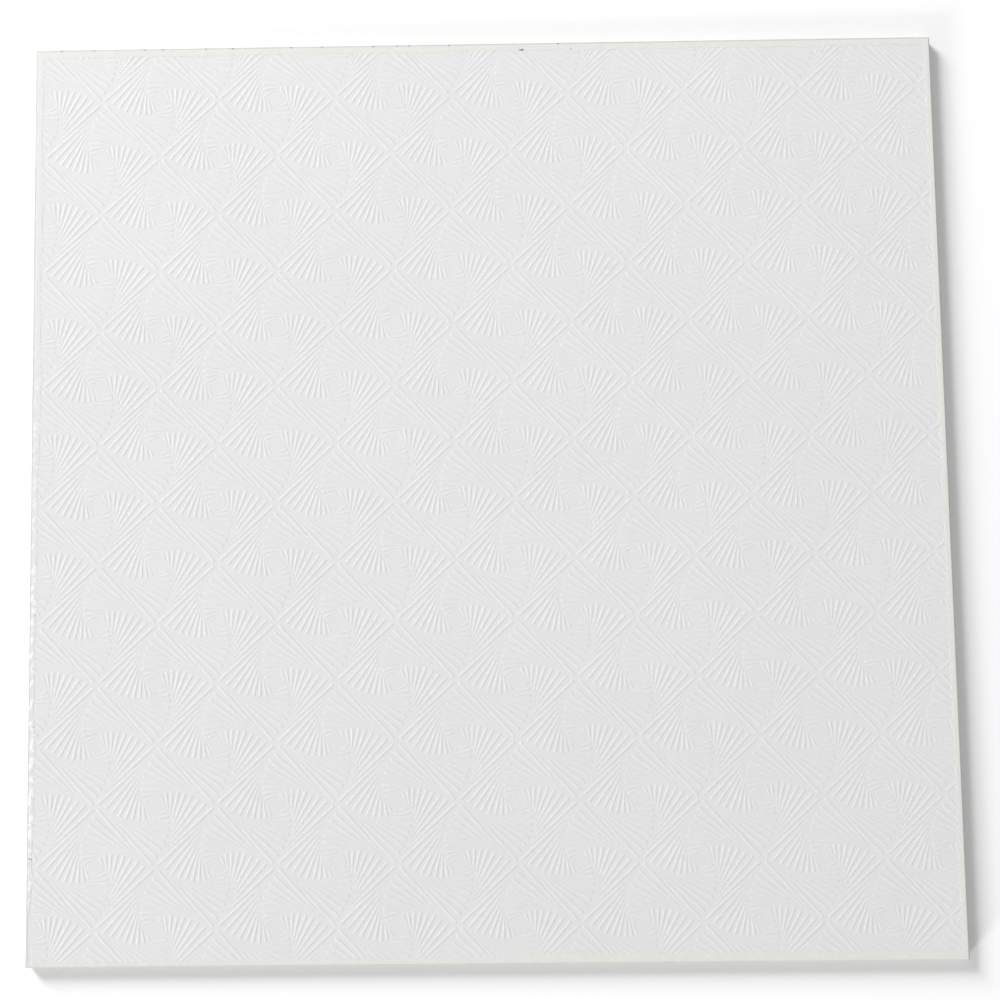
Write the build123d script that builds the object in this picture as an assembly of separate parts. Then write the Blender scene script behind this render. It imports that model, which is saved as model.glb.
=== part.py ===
"""A lay-in gypsum ceiling tile, lying on its back with its embossed face up.

The tile is one square gypsum board and four strips of sealing tape. Each strip is folded over one
edge of the board: a narrow lap on the face, the edge itself, and a wider lap on the back. Two strips
meet at each corner on a mitre.

Frame: millimetres, +Z up. The origin is the middle of the tile's underside.
"""

import os

from build123d import *

# Driving dimensions
TILE_SIDE = 595.0          # finished side, over the tape, for the 600 mm ceiling grid
TILE_THICKNESS = 7.0       # finished thickness, over the tape on both faces
TAPE_THICKNESS = 0.2
TAPE_FACE_LAP = 5.5        # width of the plain band on the face
TAPE_BACK_LAP = 7.5        # width of the lap on the back
BOARD_ARRIS_RADIUS = 0.8   # the board's long edges are a little rounded under the tape

# Sizes that follow from them
BOARD_SIDE = TILE_SIDE - 2 * TAPE_THICKNESS
BOARD_THICKNESS = TILE_THICKNESS - 2 * TAPE_THICKNESS
TAPE_ARRIS_RADIUS = BOARD_ARRIS_RADIUS + TAPE_THICKNESS


def rounded_slab(side, thickness, underside, arris_radius):
    """A square slab whose edges along the face and the back are rounded."""
    slab = Pos(0, 0, underside) * Box(
        side, side, thickness, align=(Align.CENTER, Align.CENTER, Align.MIN)
    )
    upright_edges = slab.edges().filter_by(Axis.Z)
    long_edges = [edge for edge in slab.edges() if edge not in upright_edges]
    return fillet(long_edges, arris_radius)


def make_board():
    """The gypsum board with its face film, without the tape."""
    return rounded_slab(BOARD_SIDE, BOARD_THICKNESS, TAPE_THICKNESS, BOARD_ARRIS_RADIUS)


def make_tape_ring(board):
    """All four strips as one ring: the finished slab less the board and less the bare middles."""
    ring = rounded_slab(TILE_SIDE, TILE_THICKNESS, 0, TAPE_ARRIS_RADIUS) - board
    half_height = TILE_THICKNESS / 2
    bare_back_side = TILE_SIDE - 2 * TAPE_BACK_LAP
    bare_face_side = TILE_SIDE - 2 * TAPE_FACE_LAP
    base = (Align.CENTER, Align.CENTER, Align.MIN)
    bare_back = Box(bare_back_side, bare_back_side, half_height, align=base)
    bare_face = Pos(0, 0, half_height) * Box(bare_face_side, bare_face_side, half_height, align=base)
    return ring - bare_back - bare_face


def make_tape_strip(ring, turn):
    """The strip on the +X edge, turned about Z: the ring inside a wedge between the two mitres."""
    reach = TILE_SIDE
    wedge_outline = Polyline((0, 0), (reach, -reach), (reach, reach), close=True)
    wedge = extrude(make_face(wedge_outline), TILE_THICKNESS)
    return ring & (Rot(0, 0, turn) * wedge)


STRIP_TURNS = {
    "edge_tape_right": 0,
    "edge_tape_back": 90,
    "edge_tape_left": 180,
    "edge_tape_front": 270,
}

os.makedirs("parts", exist_ok=True)

gypsum_board = make_board()
export_step(gypsum_board, "parts/gypsum_board.step")

tape_ring = make_tape_ring(gypsum_board)
for strip_name, strip_turn in STRIP_TURNS.items():
    export_step(make_tape_strip(tape_ring, strip_turn), f"parts/{strip_name}.step")
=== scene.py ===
# %% [markdown]
# A gypsum ceiling tile, lying face up.
# The real tile is a thin square of gypsum board. A white vinyl film is bonded to its face, and an engraved
# roller has pressed a pattern of turning squares into it. Tape seals the four edges. The sizes come from the
# CAD frame. Blender adds what the solids leave out: the pressed pattern, the creases and nicks in the tape,
# and the finish of each surface.

# %% Load the CAD frame
import math

import bmesh
import bpy
import numpy as np
from mathutils import Euler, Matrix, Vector


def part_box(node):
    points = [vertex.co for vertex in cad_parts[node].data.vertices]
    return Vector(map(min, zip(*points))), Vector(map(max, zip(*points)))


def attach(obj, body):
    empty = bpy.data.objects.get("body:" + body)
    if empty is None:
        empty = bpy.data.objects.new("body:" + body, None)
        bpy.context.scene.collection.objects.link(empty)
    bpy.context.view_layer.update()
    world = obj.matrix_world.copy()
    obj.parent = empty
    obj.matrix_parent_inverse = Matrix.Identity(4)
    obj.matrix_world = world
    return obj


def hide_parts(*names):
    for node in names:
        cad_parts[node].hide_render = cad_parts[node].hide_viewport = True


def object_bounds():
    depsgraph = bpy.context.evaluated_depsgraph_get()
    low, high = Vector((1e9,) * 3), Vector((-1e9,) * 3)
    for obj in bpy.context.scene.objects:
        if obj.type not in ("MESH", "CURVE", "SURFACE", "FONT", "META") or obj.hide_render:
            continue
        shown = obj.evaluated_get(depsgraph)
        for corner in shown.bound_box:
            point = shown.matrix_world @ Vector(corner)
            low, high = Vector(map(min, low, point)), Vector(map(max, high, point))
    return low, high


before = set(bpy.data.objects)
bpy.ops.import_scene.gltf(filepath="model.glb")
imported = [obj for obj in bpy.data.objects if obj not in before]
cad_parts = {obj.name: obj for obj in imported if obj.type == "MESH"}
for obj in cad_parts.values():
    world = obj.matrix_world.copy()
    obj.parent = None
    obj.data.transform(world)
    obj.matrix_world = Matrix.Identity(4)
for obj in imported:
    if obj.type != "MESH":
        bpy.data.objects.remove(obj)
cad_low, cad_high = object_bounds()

MM = 0.001
board_low, board_high = [np.array(corner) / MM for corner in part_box("gypsum_board")]
board_half = board_high[0]
tile_half = cad_high[0] / MM
tile_thickness = cad_high[2] / MM
tape_thickness = tile_half - board_half
print(f"tile {2 * tile_half:.1f} mm square, {tile_thickness:.1f} mm thick, tape {tape_thickness:.2f} mm")

# %% [markdown]
# Colours are written as sRGB hex values, as a paint chart gives them. Blender's shaders work with linear
# light, so one function turns each hex value into linear numbers. A second small function adds a node
# with its settings and links, so that each material below reads as a list of what it is made of.

# %% Colour and node helpers


def colour(hex_value):
    """sRGB hex to linear: each channel over 12.92 if dark, else ((c + 0.055) / 1.055) to the power 2.4."""
    channels = np.array([int(hex_value[i : i + 2], 16) for i in (1, 3, 5)]) / 255
    linear = np.where(channels <= 0.04045, channels / 12.92, ((channels + 0.055) / 1.055) ** 2.4)
    return (*linear.tolist(), 1.0)


def add(tree, kind, settings=None, **inputs):
    """Adds a node. Settings are its properties; inputs are values or sockets, _6 meaning input number 6."""
    node = tree.nodes.new(kind)
    for name, value in (settings or {}).items():
        setattr(node, name, value)
    for name, value in inputs.items():
        key = int(name[1:]) if name[0] == "_" else name.replace("_", " ")
        if isinstance(value, bpy.types.NodeSocket):
            tree.links.new(value, node.inputs[key])
        else:
            node.inputs[key].default_value = value
    return node


def new_tree(data):
    """Turns on nodes for a material or a world and returns its node tree, emptied."""
    data.use_nodes = True
    data.node_tree.nodes.clear()
    return data.node_tree


print("a middle grey in linear light:", [round(channel, 3) for channel in colour("#808080")])

# %% [markdown]
# The face is calendered vinyl film. It is a neutral white and satin, so a lamp gives it a wide, weak sheen
# and no mirror image. The roller leaves a fine grain, far finer than a millimetre on the real film. It is
# drawn coarser here, or it would be lost between the pixels. The tone wanders a little over a hand's width,
# because the film is thin and the grey board shows through it unevenly.

# %% Vinyl film
FILM_GRAIN_MM = 1.1
FILM_TONE_MM = 90.0
GRAIN_DEPTH_MM = 0.03


def make_vinyl_film():
    """Satin white vinyl: the uneven tone keeps it from looking painted, the grain breaks up the sheen."""
    material = bpy.data.materials.new("pressed_vinyl_film")
    tree = new_tree(material)
    place = add(tree, "ShaderNodeTexCoord").outputs["Object"]
    tone = add(tree, "ShaderNodeTexNoise", Vector=place, Scale=1 / (FILM_TONE_MM * MM), Detail=2.0)
    white = add(
        tree,
        "ShaderNodeMix",
        {"data_type": "RGBA"},
        Factor=tone.outputs["Fac"],
        _6=colour("#DFDFE0"),
        _7=colour("#E3E3E2"),
    )
    grain = add(tree, "ShaderNodeTexNoise", Vector=place, Scale=1 / (FILM_GRAIN_MM * MM), Detail=3.0)
    bump = add(
        tree,
        "ShaderNodeBump",
        Strength=0.15,
        Distance=GRAIN_DEPTH_MM * MM,
        Height=grain.outputs["Fac"],
    )
    shader = add(
        tree,
        "ShaderNodeBsdfPrincipled",
        Base_Color=white.outputs[2],
        Roughness=0.7,
        IOR=1.5,
        Normal=bump.outputs["Normal"],
    )
    add(tree, "ShaderNodeOutputMaterial", Surface=shader.outputs[0])
    return material


vinyl_film = make_vinyl_film()
print("made", vinyl_film.name)

# %% [markdown]
# The back of the board is bare lining paper, a warm grey-white with short fibres. It lies on the floor, so
# it only shows when the tile is turned over. A noise with much detail stands for the fibres.

# %% Lining paper
PAPER_FIBRE_MM = 2.5
FIBRE_DEPTH_MM = 0.1


def make_lining_paper():
    """Matt recycled paper: flecks of fibre give it a dull, uneven grey."""
    material = bpy.data.materials.new("lining_paper")
    tree = new_tree(material)
    place = add(tree, "ShaderNodeTexCoord").outputs["Object"]
    fibre = add(tree, "ShaderNodeTexNoise", Vector=place, Scale=1 / (PAPER_FIBRE_MM * MM), Detail=6.0)
    tone = add(
        tree,
        "ShaderNodeMix",
        {"data_type": "RGBA"},
        Factor=fibre.outputs["Fac"],
        _6=colour("#C9C4B8"),
        _7=colour("#D9D5CB"),
    )
    bump = add(
        tree,
        "ShaderNodeBump",
        Strength=0.2,
        Distance=FIBRE_DEPTH_MM * MM,
        Height=fibre.outputs["Fac"],
    )
    shader = add(
        tree,
        "ShaderNodeBsdfPrincipled",
        Base_Color=tone.outputs[2],
        Roughness=0.9,
        Normal=bump.outputs["Normal"],
    )
    add(tree, "ShaderNodeOutputMaterial", Surface=shader.outputs[0])
    return material


lining_paper = make_lining_paper()
print("made", lining_paper.name)

# %% [markdown]
# The sealing tape is thin white plastic. Three strips have yellowed a little, and the badly creased one is
# whiter, so one function makes both from two colours each. Glue under the tape makes its tone cloudy. Where
# plastic is creased it turns whiter, and the tops of the creases also carry a painted highlight. Dirt
# and painted shade darken the nicks, and a line of painted shade runs along the fold. The mesh carries both
# as numbers on each point. The material mixes towards a bright white by the one, whitening and painted
# highlight, and towards a dark grey by the other, dirt and painted shade.

# %% Sealing tape
TAPE_TONE_MM = 30.0


def make_sealing_tape(name, thick_glue, thin_glue):
    """Satin plastic tape: the cloudy glue makes it look thin; dirt and painted shade darken its nicks and
    edges.
    """
    material = bpy.data.materials.new(name)
    tree = new_tree(material)
    place = add(tree, "ShaderNodeTexCoord").outputs["Object"]
    glue = add(tree, "ShaderNodeTexNoise", Vector=place, Scale=1 / (TAPE_TONE_MM * MM), Detail=4.0)
    clean = add(
        tree,
        "ShaderNodeMix",
        {"data_type": "RGBA"},
        Factor=glue.outputs["Fac"],
        _6=colour(thick_glue),
        _7=colour(thin_glue),
    )
    # A painted highlight on the tops of the creases, together with the whitening of creased plastic.
    whitening_and_highlight = add(tree, "ShaderNodeAttribute", {"attribute_name": "whitening_and_highlight"})
    creased_and_highlit = add(
        tree,
        "ShaderNodeMix",
        {"data_type": "RGBA"},
        Factor=whitening_and_highlight.outputs["Fac"],
        _6=clean.outputs[2],
        _7=colour("#FAFAF8"),
    )
    # Dirt and painted shade: a shade line along the fold, and dark spots in the nicks.
    grime_and_shade = add(tree, "ShaderNodeAttribute", {"attribute_name": "grime_and_shade"})
    tone = add(
        tree,
        "ShaderNodeMix",
        {"data_type": "RGBA"},
        Factor=grime_and_shade.outputs["Fac"],
        _6=creased_and_highlit.outputs[2],
        _7=colour("#3E3D3A"),
    )
    shader = add(
        tree,
        "ShaderNodeBsdfPrincipled",
        Base_Color=tone.outputs[2],
        Roughness=0.45,
        IOR=1.5,
    )
    add(tree, "ShaderNodeOutputMaterial", Surface=shader.outputs[0])
    return material


yellowed_tape = make_sealing_tape("yellowed_sealing_tape", "#E0E0DD", "#E4E4DD")
fresh_tape = make_sealing_tape("fresh_sealing_tape", "#E0E0DF", "#E5E5E4")
print("made", yellowed_tape.name, "and", fresh_tape.name)

# %% [markdown]
# The pressed pattern is an old one: squares that turn as they shrink. Points on a plane can be written as
# complex numbers, and then turning a square by 90 degrees is multiplying its corner by i. So one number, a
# corner, stands for a whole square. The corner of each next square lies a step along the side of the last
# one and a little way in from it. Drawing each square by hand would take longer and turn unevenly.

# %% The turning squares of one whirl
REPEAT_MM = 77.0
WHIRL_SQUARES = 10
FIRST_SQUARE_RADIUS = 36.56
FIRST_SQUARE_TURN = -2.85
STEP_ALONG = 5.38
STEP_ALONG_SHRINK = 0.232
STEP_IN = 0.75
SIDE_TURNS = np.array([1, -1j, -1, 1j])


def whirl_corners(count):
    """Corners of the squares: next = last + e * along + i * e * in, with e the unit way along the side."""
    corners = [FIRST_SQUARE_RADIUS * np.exp(1j * math.radians(FIRST_SQUARE_TURN))]
    for step in range(count - 1):
        along_side = corners[-1] * (1j - 1) / (math.sqrt(2) * abs(corners[-1]))
        step_along = STEP_ALONG - STEP_ALONG_SHRINK * step
        corners.append(corners[-1] + along_side * (step_along + 1j * STEP_IN))
    return np.array(corners)


crest_corners = whirl_corners(WHIRL_SQUARES + 1)
print("square radii in mm", np.abs(crest_corners).round(1))

# %% [markdown]
# Each side of each square is a low ridge with a narrow top and soft flanks, blunt where it starts and thin
# where it ends. A ridge needs four lines: a foot and a shoulder on each side of its crest. These lines are
# squares too, a little larger or smaller than the crest's, so they are made by the same rule. Each line has
# four stations on each side: the corner, the shoulder of the blunt tip, the waist, from where the ridge
# sinks away, and its thin end. The outermost ridges start a little before their corners, and the innermost
# ones fade out. Rings by stations is a grid, so one array holds the whole whirl.

# %% One whirl as a grid of rings and stations
SIDE_STATIONS = 4
STATIONS = 4 * SIDE_STATIONS
RIDGE_HEIGHT = 0.081
RIDGE_HALF_WIDTH = 0.82
WIDEST_SHARE = 0.21
FLANK_WIDTH = 0.7
TIP_RAMP = 1.2
FIRST_TIP_START = -0.85
WAIST = 0.34
WAIST_LEVEL = 0.95
THIN_END = 0.82
FADE_END_SQUARE = 9.3
FADE_SQUARES = 1.7


def corner_at(place):
    """Corner of a square between two known ones: place 2.5 is half way from square 2 to square 3."""
    known = np.concatenate([[2 * crest_corners[0] - crest_corners[1]], crest_corners])
    known_at = np.arange(-1, len(crest_corners))
    return np.interp(place, known_at, known.real) + 1j * np.interp(place, known_at, known.imag)


def whirl_rings():
    """Points and levels, ring by ring from the outside, 16 stations round each ring.

    A point is the ring's corner times (-i) to the side's number, times ((1 - u) - i u), with u the share of
    the side. A level is 0 on the ground and 1 on a ridge's top.
    """
    square = np.arange(WHIRL_SQUARES)[:, None]
    side = math.sqrt(2) * np.abs(crest_corners[:-1, None])
    start = np.where(square == 0, FIRST_TIP_START, 0.0)
    share = np.hstack([start, start + TIP_RAMP, WAIST * side, THIN_END * side]) / side
    pitch = (STEP_ALONG - STEP_ALONG_SHRINK * square) * (1 - share) + STEP_IN * share
    half_width = np.minimum(RIDGE_HALF_WIDTH, WIDEST_SHARE * pitch)
    flank = FLANK_WIDTH * half_width / RIDGE_HALF_WIDTH
    shoulder = half_width - flank / 2
    foot = half_width + flank / 2
    offset = np.stack([-foot, -shoulder, shoulder, foot], axis=1) / pitch[:, None, :]
    corner = corner_at(square[:, :, None] + offset)
    on_side = corner * ((1 - share) - 1j * share)[:, None, :]
    points = on_side[:, :, None, :] * SIDE_TURNS[:, None]

    strength = np.clip((FADE_END_SQUARE - square) / FADE_SQUARES, 0, 1)[:, :, None, None]
    on_foot = np.zeros(SIDE_STATIONS)
    on_shoulder = np.array([0, 1, WAIST_LEVEL, 0])
    line_levels = np.stack([on_foot, on_shoulder, on_shoulder, on_foot])[None, :, None, :]
    levels = np.broadcast_to(line_levels * strength, points.shape)
    return points.reshape(-1, STATIONS), levels.reshape(-1, STATIONS)


ring_points, ring_levels = whirl_rings()
print("one whirl:", len(ring_points), "rings of", ring_points.shape[1], "stations")

# %% [markdown]
# A whirl sits in a cell, a larger square round it. All the cells are turned by the same small angle, so they
# fit together side by side with a small square gap at each corner, and the whole film is covered. The
# border's stations lie evenly about the middle of each side, so that the points of two neighbours meet.

# %% One cell
CELL_TURN = -3.0
BORDER_STATION = 0.2


def make_cell():
    """Points, levels, four-sided and three-sided faces of one cell with its corner gap."""
    border = REPEAT_MM / 2 * math.cos(math.radians(CELL_TURN)) * np.exp(1j * math.radians(CELL_TURN))
    shared_side = 1 - math.tan(math.radians(-CELL_TURN))
    share = np.array([0, BORDER_STATION, shared_side - BORDER_STATION, shared_side])
    border_points = border * SIDE_TURNS[:, None] * ((1 - share) - 1j * share)
    points = np.concatenate([border_points.reshape(1, STATIONS), ring_points])
    levels = np.concatenate([np.zeros((1, STATIONS)), ring_levels])

    index = np.arange(points.size).reshape(points.shape)
    onward = np.roll(index, -1, axis=1)
    quads = np.stack([index[:-1], index[1:], onward[1:], onward[:-1]], axis=-1).reshape(-1, 4)
    centre = points.size
    fan = np.stack([index[-1], np.full(STATIONS, centre), onward[-1]], axis=-1)
    node = REPEAT_MM / 2
    gap = node + (border - node) * np.array([1, 1j, -1, -1j])
    gap_face = centre + 1 + np.arange(4)[None, :]
    all_points = np.concatenate([points.ravel(), [0], gap])
    all_levels = np.concatenate([levels.ravel(), np.zeros(1 + len(gap))])
    return all_points, all_levels, np.concatenate([quads, gap_face]), fan


cell_points, cell_levels, cell_quads, cell_fan = make_cell()
print("one cell:", len(cell_points), "points,", 2 * len(cell_quads) + len(cell_fan), "triangles")

# %% [markdown]
# The roller repeats the cell over the whole film. The repeat was measured on the tile: two steps that are
# nearly square to each other and nearly in line with the edges, with another cell in the middle of each
# four. The copies are one array of centres plus one array of cell points. Points that neighbours share are
# then joined, so the film is one surface. The roller pressed harder on the left, so the ridges are higher
# there. The film's ground lies just below the tape's laps, which were rolled flat.

# %% The film as one joined surface
FILM_STEP_X = 77.065 + 0.453j
FILM_STEP_Y = 0.245 + 76.536j
FILM_CENTRE = -21.97 - 5.36j
CELL_REACH = 0.55
SPARE_CELLS = 2
JOIN_MM = 0.001
PRESS_FALL = 0.14
TAPE_STEP = 0.06
film_ground = tile_thickness - TAPE_STEP


def on_film(points):
    """Cell coordinates to tile coordinates: the x part along one repeat step, the y part along the other."""
    return points.real / REPEAT_MM * FILM_STEP_X + points.imag / REPEAT_MM * FILM_STEP_Y


def make_film():
    """Points and faces of all the cells that reach the board, in millimetres."""
    reach = int(board_half / REPEAT_MM) + SPARE_CELLS
    counts = np.arange(-reach, reach + 1)
    whole = (counts[:, None] + 1j * counts[None, :]).ravel()
    centres = on_film(np.concatenate([whole, whole + 0.5 + 0.5j]) * REPEAT_MM) + FILM_CENTRE
    limit = board_half + REPEAT_MM * CELL_REACH
    centres = centres[(np.abs(centres.real) < limit) & (np.abs(centres.imag) < limit)]

    places = (centres[:, None] + on_film(cell_points)[None, :]).ravel()
    levels = np.tile(cell_levels, len(centres))
    first_point = (np.arange(len(centres)) * len(cell_points))[:, None, None]
    quads = (cell_quads + first_point).reshape(-1, 4)
    fans = (cell_fan + first_point).reshape(-1, 3)

    keys = np.round(np.stack([places.real, places.imag], axis=1) / JOIN_MM).astype(np.int64)
    _, first, joined = np.unique(keys, axis=0, return_index=True, return_inverse=True)
    joined = joined.ravel()
    press = 1 - PRESS_FALL * places.real[first] / board_half
    height = film_ground + RIDGE_HEIGHT * press * levels[first]
    points = np.stack([places.real[first], places.imag[first], height], axis=1)
    return points, joined[quads], joined[fans]


film_points, film_quads, film_fans = make_film()
print("film:", len(film_quads), "four-sided and", len(film_fans), "three-sided faces before the cut")

# %% [markdown]
# The maker cuts the film to the board after pressing: four straight cuts through the pattern. Blender's
# bisect makes each cut. Two more cuts near each edge mark where the lap of the tape begins, and beyond them
# the ridges are rolled flat. The board below has walls, edges bevelled enough to stay inside the tape's
# fold, and a flat back, so that it is one closed piece.

# %% Cut the film to the board and close it
BOARD_BEVEL = 0.8
CUT_SNAP_MM = 0.02
ROLLED_EDGE_MM = 0.15
SIDES = ((1, 0), (0, 1), (-1, 0), (0, -1))
CORNERS = ((1, -1), (1, 1), (-1, 1), (-1, -1))
ROLLED_MARGINS = ((4.1, 4.1), (5.1, 5.1), (5.6, 4.0), (2.6, 6.8))


def margin_line(side):
    """A point on the line where the tape's lap begins on one side, and the way out across that line."""
    outward = np.array(SIDES[side])
    along = np.array([-outward[1], outward[0]])
    start, end = ROLLED_MARGINS[side]
    slope = (end - start) / (2 * tile_half)
    return outward * (tile_half - (start + end) / 2), outward + along * slope


def cut_film(half):
    """Points and faces of the film inside a square of that half side, rolled flat at its margins."""
    mesh = bpy.data.meshes.new("pressed_film")
    mesh.from_pydata(film_points.tolist(), [], film_quads.tolist() + film_fans.tolist())
    sheet = bmesh.new()
    sheet.from_mesh(mesh)
    cuts = [(np.array(outward) * half, np.array(outward), True) for outward in SIDES]
    for side, outward in enumerate(SIDES):
        place, across = margin_line(side)
        cuts.append((place, across, False))
        cuts.append((place - np.array(outward) * ROLLED_EDGE_MM, across, False))
    for place, across, trim in cuts:
        bmesh.ops.bisect_plane(
            sheet,
            geom=sheet.verts[:] + sheet.edges[:] + sheet.faces[:],
            dist=CUT_SNAP_MM,
            use_snap_center=True,
            plane_co=(*place, 0),
            plane_no=(*across, 0),
            clear_outer=trim,
        )
    sheet.to_mesh(mesh)
    sheet.free()
    points = np.empty(len(mesh.vertices) * 3)
    mesh.vertices.foreach_get("co", points)
    loops = np.empty(len(mesh.loops), dtype=np.int64)
    mesh.loops.foreach_get("vertex_index", loops)
    starts = np.empty(len(mesh.polygons), dtype=np.int64)
    mesh.polygons.foreach_get("loop_start", starts)
    bpy.data.meshes.remove(mesh)
    used, loops = np.unique(loops, return_inverse=True)
    points = points.reshape(-1, 3)[used]
    for side in range(len(SIDES)):
        place, across = margin_line(side)
        points[(points[:, :2] - place) @ across > -CUT_SNAP_MM, 2] = film_ground
    return points, np.split(loops, starts[1:])


def make_board():
    """The pressed face with bevels, walls and a back: rings of four corners below the cut edge."""
    face_half = board_half - BOARD_BEVEL
    points, faces = cut_film(face_half)
    film_faces = len(faces)
    ring_sizes = (
        (board_half, board_high[2] - BOARD_BEVEL),
        (board_half, board_low[2] + BOARD_BEVEL),
        (face_half, board_low[2]),
    )
    rings = [[(x * half, y * half, level) for x, y in CORNERS] for half, level in ring_sizes]
    ring_index = np.arange(len(ring_sizes) * len(CORNERS)).reshape(-1, len(CORNERS))
    upper, lower, back = len(points) + ring_index
    for side, (x, y) in enumerate(SIDES):
        onward = (side + 1) % len(SIDES)
        rim = np.flatnonzero(np.abs(points[:, 0] * x + points[:, 1] * y - face_half) < JOIN_MM)
        rim = rim[np.argsort(points[rim, 0] * y - points[rim, 1] * x)]
        faces.append(np.concatenate([[upper[side], upper[onward]], rim]))
        faces.append(np.array([lower[side], lower[onward], upper[onward], upper[side]]))
        faces.append(np.array([back[side], back[onward], lower[onward], lower[side]]))
    faces.append(back[::-1])

    mesh = bpy.data.meshes.new("embossed_board")
    points = np.concatenate([points, np.array(rings).reshape(-1, 3)])
    mesh.from_pydata((points * MM).tolist(), [], [face.tolist() for face in faces])
    mesh.materials.append(vinyl_film)
    mesh.materials.append(lining_paper)
    mesh.polygons.foreach_set("material_index", (np.arange(len(faces)) >= film_faces).astype(np.int32))
    mesh.update()
    piece = bpy.data.objects.new("embossed_board", mesh)
    bpy.context.scene.collection.objects.link(piece)
    return piece


embossed_board = make_board()
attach(embossed_board, "root")
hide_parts("gypsum_board")
embossed_board.data.calc_loop_triangles()
print("board:", len(embossed_board.data.loop_triangles), "triangles")

# %% [markdown]
# Each strip of tape is folded over one edge: a lap on the face, round the edge, and a lap under the back. It
# was laid on by hand, so its edge on the face wanders and one strip is badly creased. The widths and the
# creasing below were read off the tile at a few places along each edge, and are joined up by straight
# lines. Places are millimetres along x for the front and back strips, and along y for the other two. A mark
# is six numbers: its place, its distance in from the edge, its half length, its half width, how dark it is,
# and how far it slants along the edge for each millimetre in.

# %% Where the tape is wide, creased and marked
STRIP_TURNS = {"right": 0, "back": 90, "left": 180, "front": 270}
PLACE_SIGNS = {"right": 1, "back": -1, "left": -1, "front": 1}
LAP_PLACES = {
    "right": (-297, 297),
    "back": (-297, 297),
    "left": (-297, -267, -252, -68, 52, 297),
    "front": (-297, -150, -50, 50, 297),
}
LAP_WIDTHS = {
    "right": (4.3, 4.2),
    "back": (5.4, 5.2),
    "left": (1.5, 1.7, 4.0, 4.2, 5.4, 5.5),
    "front": (2.1, 2.6, 4.2, 6.0, 6.0),
}
LAP_WANDER = {"right": 0.7, "back": 0.7, "left": 1.6, "front": 0.7}
CREASE_PLACES = (-297, -257, -233, -190, -117, -80, -28, 82, 92, 297)
CREASE_HEIGHTS = {
    "right": (0.04, 0.04, 0.04, 0.04, 0.04, 0.04, 0.04, 0.04, 0.04, 0.04),
    "back": (0.05, 0.05, 0.05, 0.05, 0.05, 0.05, 0.05, 0.05, 0.05, 0.05),
    "left": (0.05, 0.12, 0.17, 0.20, 0.20, 0.17, 0.12, 0.09, 0.05, 0.04),
    "front": (0.08, 0.08, 0.07, 0.06, 0.06, 0.06, 0.06, 0.06, 0.06, 0.06),
}
NICK_PLACES = (-281, -259, -225, -213, -184, -166, -127, -106, -72, -56, -48, -21.4, 51.5)
# Each nick's dark spot is partly dirt and partly painted shade in its dent.
NICK_MARKS = [(place, 0.4, 1.0, 1.2, 0.95, 0) for place in NICK_PLACES]
CHIP_MARKS = [
    (27.1, 4.9, 1.6, 0.7, 1.0, -1.2),
    (23.6, 2.4, 0.5, 2.0, 0.2, 1.3),
    (60.4, 4.3, 0.7, 0.6, 0.4, 0),
]
LEFT_MARKS = [
    (-77.6, 4.1, 0.7, 0.6, 0.5, 0),
    (-149.4, 3.7, 0.6, 0.5, 0.45, 0),
    (-231.9, 2.4, 0.6, 1.8, 0.55, -1.1),
]
MARKS = {"right": [], "back": NICK_MARKS + CHIP_MARKS, "left": LEFT_MARKS, "front": []}
NICKS = {"right": (), "back": NICK_PLACES, "left": (), "front": ()}
print("nicks on the back strip:", len(NICK_PLACES))

# %% [markdown]
# The fold is a profile carried along the edge. The outer skin runs from the lap's edge on the face, round
# the two arrises and under the back. The inner skin is the same fold, set in by the tape's thickness.
# Creases are small bubbles strewn along the lap, and a bell curve makes each nick and each dark spot.

# %% The folded section and its creases
ARRIS_RADIUS = 1.0
BACK_LAP = 7.5
LAP_POINTS = 9
ARC_POINTS = 5
BUBBLE_SPACING = 2.2
BUBBLE_HALF_LENGTHS = (0.9, 2.8)
BUBBLE_PLACES = (1.5, 4.5)
BUBBLE_HALF_WIDTH = 2.0
BUBBLE_SLANT = 1.3
WANDER_SPACINGS = (126.0, 47.0, 19.0, 8.5)
WANDER_LEVEL = 0.02
SAMPLE_COUNT = 201


def folded_skin(lap, inset):
    """Distance in from the tile's side and height, for each place along the strip and each fold point.

    On the lap the distance falls evenly from the lap's width to the arris radius. Round an arris it is the
    radius plus reach times cosine, and the height changes by reach times sine, with reach the radius less
    the inset.
    """
    lap_share = np.linspace(1, 0, LAP_POINTS, endpoint=False)
    reach = ARRIS_RADIUS - inset
    over = np.radians(np.linspace(90, 180, ARC_POINTS))
    under = np.radians(np.linspace(180, 270, ARC_POINTS))
    lap_in = ARRIS_RADIUS + (lap[:, None] - ARRIS_RADIUS) * lap_share
    fold_in = np.concatenate([np.cos(over), np.cos(under)]) * reach + ARRIS_RADIUS
    fold_in = np.append(fold_in, BACK_LAP)
    top = tile_thickness - ARRIS_RADIUS + reach * np.sin(over)
    bottom = ARRIS_RADIUS + reach * np.sin(under)
    height = np.concatenate([np.full(LAP_POINTS, tile_thickness - inset), top, bottom, [inset]])
    inward = np.hstack([lap_in, np.tile(fold_in, (len(lap), 1))])
    return inward, np.tile(height, (len(lap), 1))


def wander(place, seed):
    """A slow drift: a sum of sines with seeded phases, each as high as the root of its spacing."""
    spacing = np.array(WANDER_SPACINGS)[:, None]
    phase = np.random.default_rng(seed).uniform(0, 2 * math.pi, spacing.shape)
    return WANDER_LEVEL * np.sum(np.sin(2 * math.pi * place / spacing + phase) * np.sqrt(spacing), axis=0)


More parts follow.
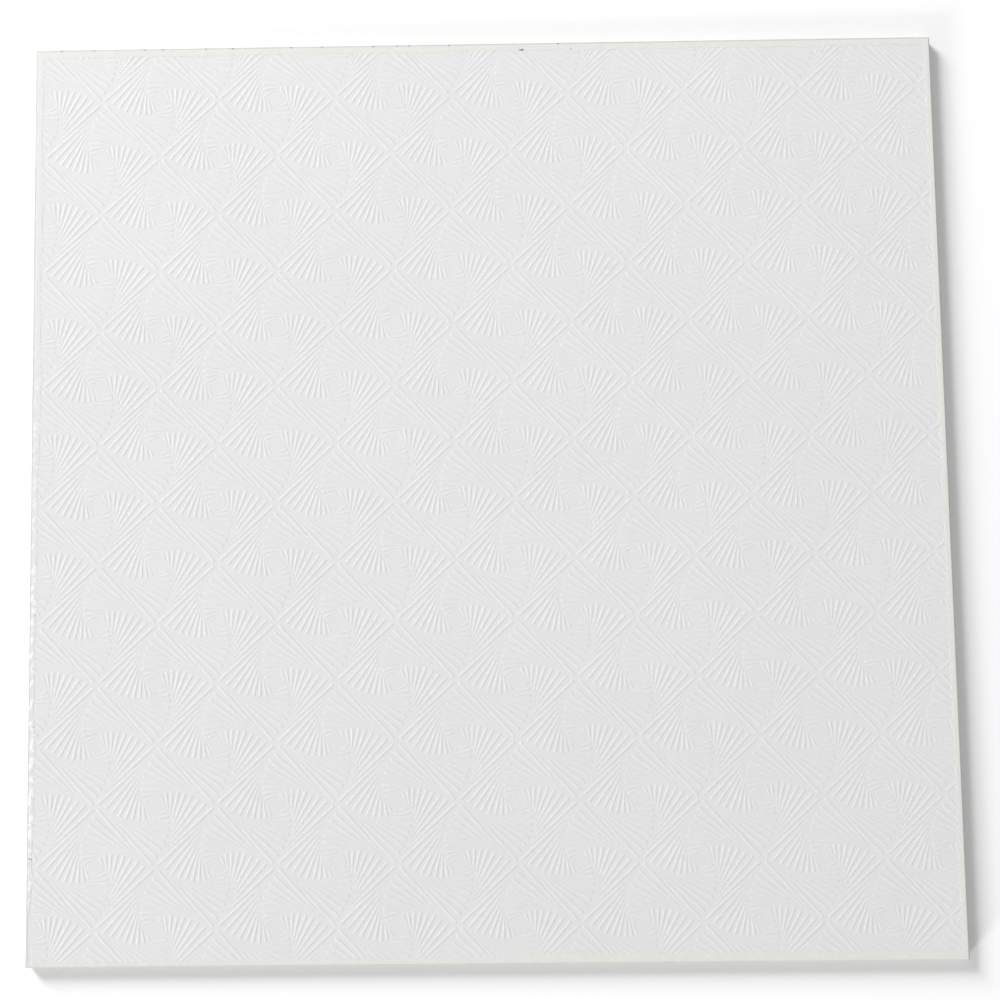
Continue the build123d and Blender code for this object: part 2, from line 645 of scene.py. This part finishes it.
def creases(place, inward, seed):
    """Crumpled tape: the highest of many bubbles at each point, each with a ridge on its own slant.

    A bubble falls evenly to both sides of its ridge, 1 - |along| / half length, and fades out along the
    ridge, 1 - (across / half width) squared. Long bubbles stand higher, so all have the same slope.
    """
    draw = np.random.default_rng(seed)
    count = int(2 * tile_half / BUBBLE_SPACING)
    centre = draw.uniform(-tile_half, tile_half, count)
    half_length = draw.uniform(*BUBBLE_HALF_LENGTHS, count)
    across = inward[:, :, None] - draw.uniform(*BUBBLE_PLACES, count)
    slant = draw.uniform(-BUBBLE_SLANT, BUBBLE_SLANT, count)
    along = np.abs(place[:, None, None] - centre - slant * across)
    sides = np.clip(half_length - along, 0, None)
    ends = np.clip(1 - (across / BUBBLE_HALF_WIDTH) ** 2, 0, 1)
    return (sides * ends).max(axis=2) / BUBBLE_HALF_LENGTHS[1]


sample_places = np.linspace(-tile_half, tile_half, SAMPLE_COUNT)
sample = creases(sample_places, np.full((SAMPLE_COUNT, 1), BUBBLE_PLACES[0]), seed=1)
print("creases run from", sample.min().round(2), "to", sample.max().round(2), "times their height")

# %% [markdown]
# On the real tile the creases lift the lap and bulge the edge a little, and the nicks dent the upper arris.
# Each is a height times one weight for each point of the folded section, so a crease can be full on the lap
# and gone at its edge. Its highest parts are the whitest, a painted highlight. Dirt and painted shade are
# measured along the unfolded tape: distance in from the edge, less the way down the side. So a nick's dark
# spot stays on the arris and does not run down.

# %% Crumple the tape, and paint its dirt, shade and highlights
LAP_LIFT = (0.05, 0.2, 0.4, 0.6, 0.8, 0.95, 1.0, 0.8, 0.45)
ARRIS_LIFT = 0.2
BULGE_SHARE = 0.6
END_FADE = 8.0
NICK_DEPTH = 0.18
NICK_PRESS = (0.3, 1.0, 0.6)
NICK_HALF_LENGTH = 0.9
WHITE_FOLD = 0.11
# A line of painted shade along the fold: strongest on the left and back strips, and none on the right.
EDGE_PAINTED_SHADE = {"right": 0.0, "back": 0.38, "left": 0.48, "front": 0.05}
EDGE_SHADE_REACH = 1.4
EDGE_SHADE_FADE = 0.8
EDGE_SHADE_WANDER = 0.3
STRIP_SEEDS = {"right": 11, "back": 23, "left": 37, "front": 41}
CREASE_SEED_STEP = 2
EDGE_SHADE_SEED_STEP = 3


def crumpled_skin(name, share, place, inward, height):
    """The outer skin with creases lifted and bulged by their weights, and nicks pressed in by bell curves.

    The third array is the whitening and painted highlight: (crease height / white fold) squared, at most 1,
    where the skin lifts.
    """
    section = inward.shape[1]
    over = slice(LAP_POINTS, LAP_POINTS + ARC_POINTS)
    under = slice(LAP_POINTS + ARC_POINTS, section - 1)
    lifted = np.zeros(section)
    lifted[:LAP_POINTS] = LAP_LIFT
    lifted[over] = np.linspace(ARRIS_LIFT, 0, ARC_POINTS)
    dented = np.zeros(section)
    dented[over] = np.linspace(0, 1, ARC_POINTS)
    bulged = dented.copy()
    bulged[under] = np.linspace(1, 0, ARC_POINTS)
    pressed = np.zeros(section)
    first_pressed = LAP_POINTS - 1
    pressed[first_pressed : first_pressed + len(NICK_PRESS)] = NICK_PRESS

    fade = np.clip((1 - np.abs(share)) * tile_half / END_FADE, 0, 1)
    crease_height = np.interp(place, CREASE_PLACES, CREASE_HEIGHTS[name]) * fade
    folds = creases(place, inward, STRIP_SEEDS[name] + CREASE_SEED_STEP) * crease_height[:, None]
    gaps = (place[:, None] - np.array(NICKS[name])[None, :]) / NICK_HALF_LENGTH
    nicks = NICK_DEPTH * np.exp(-(gaps**2)).sum(axis=1)[:, None]
    crumpled_in = inward - BULGE_SHARE * folds * bulged + nicks * dented
    crumpled_up = height + folds * lifted - nicks * pressed
    return crumpled_in, crumpled_up, np.clip(folds / WHITE_FOLD, 0, 1) ** 2 * (lifted > 0)


def strip_grime_and_shade(name, place, unfolded):
    """Painted shade along the side, and dark spots: exp(-q * q), with q the squared distance in half
    lengths.
    """
    drift = wander(place, STRIP_SEEDS[name] + EDGE_SHADE_SEED_STEP)
    edge_shade = EDGE_PAINTED_SHADE[name] * (1 + EDGE_SHADE_WANDER * drift)
    grime_and_shade = edge_shade[:, None] * np.clip((EDGE_SHADE_REACH - unfolded) / EDGE_SHADE_FADE, 0, 1)
    for along, across, half_along, half_across, darkness, slant in MARKS[name]:
        deeper = unfolded - across
        squared = ((place[:, None] - along - slant * deeper) / half_along) ** 2 + (deeper / half_across) ** 2
        grime_and_shade = np.maximum(grime_and_shade, darkness * np.exp(-squared * squared))
    return grime_and_shade


print("nicks are", NICK_DEPTH, "mm deep, less than the tape's", round(tape_thickness, 2), "mm")

# %% [markdown]
# Now each strip is one grid: places along the edge by points round the closed section. Its two ends lie on
# the mitre lines, because a point's place along the edge shrinks as it goes in. More places are added near
# the marks, so that a small spot is drawn round. The creases fade out at the ends, where two strips meet.

# %% Make the four strips
PLACE_STEPS = {"right": 1.5, "back": 1.5, "left": 0.6, "front": 1.5}
MARK_REACH = 3.0
MARK_STEP = 0.3
SHARE_DIGITS = 6
STRIP_TAPES = {"right": yellowed_tape, "back": yellowed_tape, "left": fresh_tape, "front": yellowed_tape}


def strip_places(name):
    """Places along the strip as shares of its half length, from -1 to 1."""
    even = np.linspace(-1, 1, int(2 * tile_half / PLACE_STEPS[name]) + 1)
    centres = np.array([mark[0] for mark in MARKS[name]]) * PLACE_SIGNS[name]
    near = np.arange(-MARK_REACH, MARK_REACH + MARK_STEP / 2, MARK_STEP)
    close = (centres[:, None] + near).ravel() / tile_half
    return np.unique(np.concatenate([even, close]).round(SHARE_DIGITS))


def strip_faces(rows, section):
    """Four-sided faces: round the closed section from each place to the next, then the two ends."""
    around = 2 * section
    index = np.arange(rows * around).reshape(rows, around)
    onward = np.roll(index, -1, axis=1)
    skin = np.stack([index[:-1], index[1:], onward[1:], onward[:-1]], axis=-1).reshape(-1, 4)
    outer = index[:, :section]
    inner = index[:, : section - 1 : -1]
    first_end = np.stack([outer[0, :-1], outer[0, 1:], inner[0, 1:], inner[0, :-1]], axis=-1)
    last_end = np.stack([inner[-1, :-1], inner[-1, 1:], outer[-1, 1:], outer[-1, :-1]], axis=-1)
    return np.concatenate([skin, first_end, last_end])


def shade_strip(mesh, rows, section):
    """Smooth shading on the outer skin, broken at the mitres and along the two edges of the tape."""
    around = 2 * section
    smooth = np.zeros(len(mesh.polygons), dtype=bool)
    smooth[: (rows - 1) * around] = np.tile(np.arange(around) < section - 1, rows - 1)
    mesh.polygons.foreach_set("use_smooth", smooth)
    ends = np.empty(2 * len(mesh.edges), dtype=np.int64)
    mesh.edges.foreach_get("vertices", ends)
    row, column = np.divmod(ends.reshape(-1, 2), around)
    at_mitre = (row[:, 0] == row[:, 1]) & np.isin(row[:, 0], (0, rows - 1))
    at_tape_edge = (column[:, 0] == column[:, 1]) & np.isin(column[:, 0], (0, section - 1))
    mesh.edges.foreach_set("use_edge_sharp", at_mitre | at_tape_edge)


def make_strip(name):
    """One strip of tape: the outer skin, then the inner skin back, closed round and at both ends."""
    share = strip_places(name)
    place = share * tile_half * PLACE_SIGNS[name]
    widths = np.interp(place, LAP_PLACES[name], LAP_WIDTHS[name])
    lap = widths + LAP_WANDER[name] * wander(place, STRIP_SEEDS[name])
    outer_in, outer_up = folded_skin(lap, 0.0)
    inner_in, inner_up = folded_skin(lap, tape_thickness)
    grime_and_shade = strip_grime_and_shade(name, place, outer_in - (tile_thickness - outer_up))
    outer_in, outer_up, whitening_and_highlight = crumpled_skin(name, share, place, outer_in, outer_up)

    rows, section = outer_in.shape
    reach = tile_half - np.hstack([outer_in, inner_in[:, ::-1]])
    height = np.hstack([outer_up, inner_up[:, ::-1]])
    spot = (reach + 1j * share[:, None] * reach) * np.exp(1j * math.radians(STRIP_TURNS[name]))
    points = np.stack([spot.real, spot.imag, height], axis=-1).reshape(-1, 3) * MM
    mesh = bpy.data.meshes.new("creased_tape_" + name)
    mesh.from_pydata(points.tolist(), [], strip_faces(rows, section).tolist())
    shade_strip(mesh, rows, section)
    for label, values in (("grime_and_shade", grime_and_shade), ("whitening_and_highlight", whitening_and_highlight)):
        on_points = mesh.attributes.new(label, "FLOAT", "POINT")
        on_points.data.foreach_set("value", np.hstack([values, values[:, ::-1]]).ravel().astype(np.float32))
    mesh.materials.append(STRIP_TAPES[name])
    mesh.update()
    piece = bpy.data.objects.new("creased_tape_" + name, mesh)
    bpy.context.scene.collection.objects.link(piece)
    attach(piece, "root")
    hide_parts("edge_tape_" + name)
    return piece


for strip_name in STRIP_TURNS:
    strip = make_strip(strip_name)
    print(strip.name, 2 * len(strip.data.polygons), "triangles")

# %% [markdown]
# The tile lies on white paper under an even white sky. Both are plain stage, not part of the object. The
# camera, a mirror or a glass should see them as white, but the tile should only get a soft, moderate light
# from them. The Light Path node tells these rays apart. To the tile's own light the paper is a middle grey.
# The paper's small glow is seen and gives no light, so the paper still takes the tile's shadow.

# %% Floor and world
SKY_LIGHT = 0.385
FLOOR_LIFT = 0.05
FLOOR_HALF_M = 1.6
FLOOR_GAP_MM = 0.02


def seen_rays(tree):
    """1 for rays from the camera, from a gloss or through a clear piece, and 0 for light on matt ones."""
    path = add(tree, "ShaderNodeLightPath").outputs
    larger = {"operation": "MAXIMUM"}
    seen = add(tree, "ShaderNodeMath", larger, _0=path["Is Camera Ray"], _1=path["Is Glossy Ray"])
    return add(tree, "ShaderNodeMath", larger, _0=seen.outputs[0], _1=path["Is Transmission Ray"]).outputs[0]


def make_floor():
    """A large white sheet just under the tile."""
    material = bpy.data.materials.new("white_paper_floor")
    tree = new_tree(material)
    seen = seen_rays(tree)
    lift = add(tree, "ShaderNodeMath", {"operation": "MULTIPLY"}, _0=seen, _1=FLOOR_LIFT)
    tone = add(
        tree,
        "ShaderNodeMix",
        {"data_type": "RGBA"},
        Factor=seen,
        _6=colour("#8C8C8C"),
        _7=colour("#FDFDFD"),
    )
    paper = add(tree, "ShaderNodeBsdfDiffuse", Color=tone.outputs[2])
    glow = add(tree, "ShaderNodeEmission", Color=(1, 1, 1, 1), Strength=lift.outputs[0])
    both = add(tree, "ShaderNodeAddShader", _0=paper.outputs[0], _1=glow.outputs[0])
    add(tree, "ShaderNodeOutputMaterial", Surface=both.outputs[0])
    level = cad_low[2] - FLOOR_GAP_MM * MM
    mesh = bpy.data.meshes.new("floor")
    mesh.from_pydata([(x * FLOOR_HALF_M, y * FLOOR_HALF_M, level) for x, y in CORNERS], [], [(0, 1, 2, 3)])
    mesh.materials.append(material)
    floor = bpy.data.objects.new("floor", mesh)
    bpy.context.scene.collection.objects.link(floor)


def make_world():
    """White to the rays that see it, and an even soft light for everything else."""
    world = bpy.data.worlds.new("studio")
    tree = new_tree(world)
    strength = add(tree, "ShaderNodeMix", Factor=seen_rays(tree), _2=SKY_LIGHT, _3=1.0)
    sky = add(tree, "ShaderNodeBackground", Color=(1, 1, 1, 1), Strength=strength.outputs[0])
    add(tree, "ShaderNodeOutputWorld", Surface=sky.outputs[0])
    bpy.context.scene.world = world


make_floor()
make_world()
print("sky gives", SKY_LIGHT, "of the light")

# %% [markdown]
# Two soft boxes give the rest of the light. The main one hangs beyond the far left corner and throws the
# tile's soft shadow to the near right. The other stands low beyond the near left corner and rakes across the
# film, so that the shallow ridges show. A lamp's power follows from the share of light it should give: share
# times pi squared times distance squared over the sine of its elevation, in watts. The shares and the sky
# add up to about one, so a colour renders about as written. Sizes and distances are in metres here.

# %% Lamps
LAMP_NAMES = ("main_soft_box", "raking_soft_box")
LAMP_SHARES = {"main_soft_box": 0.51, "raking_soft_box": 0.145}
LAMP_AZIMUTHS = {"main_soft_box": 131.0, "raking_soft_box": 226.0}
LAMP_ELEVATIONS = {"main_soft_box": 22.0, "raking_soft_box": 10.0}
LAMP_SIZES = {"main_soft_box": 2.4, "raking_soft_box": 3.5}
LAMP_DISTANCES = {"main_soft_box": 7.0, "raking_soft_box": 14.0}


def make_lamp(name):
    """A square soft box at an azimuth and elevation, pointed at the tile's middle."""
    azimuth = math.radians(LAMP_AZIMUTHS[name])
    elevation = math.radians(LAMP_ELEVATIONS[name])
    flat = math.cos(elevation)
    direction = Vector((flat * math.cos(azimuth), flat * math.sin(azimuth), math.sin(elevation)))
    light = bpy.data.lights.new(name, "AREA")
    light.shape = "SQUARE"
    light.size = LAMP_SIZES[name]
    distance = LAMP_DISTANCES[name]
    light.energy = LAMP_SHARES[name] * (math.pi * distance) ** 2 / math.sin(elevation)
    lamp = bpy.data.objects.new(name, light)
    lamp.location = direction * distance
    lamp.rotation_euler = (-direction).to_track_quat("-Z", "Y").to_euler()
    bpy.context.scene.collection.objects.link(lamp)
    return light


for lamp_name in LAMP_NAMES:
    print(lamp_name, round(make_lamp(lamp_name).energy, 1), "W")

# %% [markdown]
# The camera looks almost straight down. Its small tilt and offset are the photograph's, found by matching
# the tile's four corners, so the picture has the same slight perspective.

# %% Camera
CAMERA_LENS = 43.2
CAMERA_SENSOR = 36.0
CAMERA_TILT = (4.230, 0.546, -0.732)
CAMERA_OFFSET = Vector((40.67, -53.53, -777.51))
CAMERA_SHIFT = (0.0745, -0.0915)


def make_camera():
    """A camera above the face: turned by the tilt, then moved so that the face's middle is at the offset."""
    data = bpy.data.cameras.new("camera")
    data.lens = CAMERA_LENS
    data.sensor_width = CAMERA_SENSOR
    data.shift_x, data.shift_y = CAMERA_SHIFT
    camera = bpy.data.objects.new("camera", data)
    turn = Euler([math.radians(angle) for angle in CAMERA_TILT], "ZYX").to_matrix()
    face_middle = Vector((0, 0, cad_high[2]))
    camera.rotation_euler = turn.to_euler()
    camera.location = face_middle - turn @ (CAMERA_OFFSET * MM)
    bpy.context.scene.collection.objects.link(camera)
    bpy.context.scene.camera = camera
    return camera


camera = make_camera()
bpy.context.scene.view_settings.view_transform = "Standard"
print("camera at", [round(value, 3) for value in camera.location])
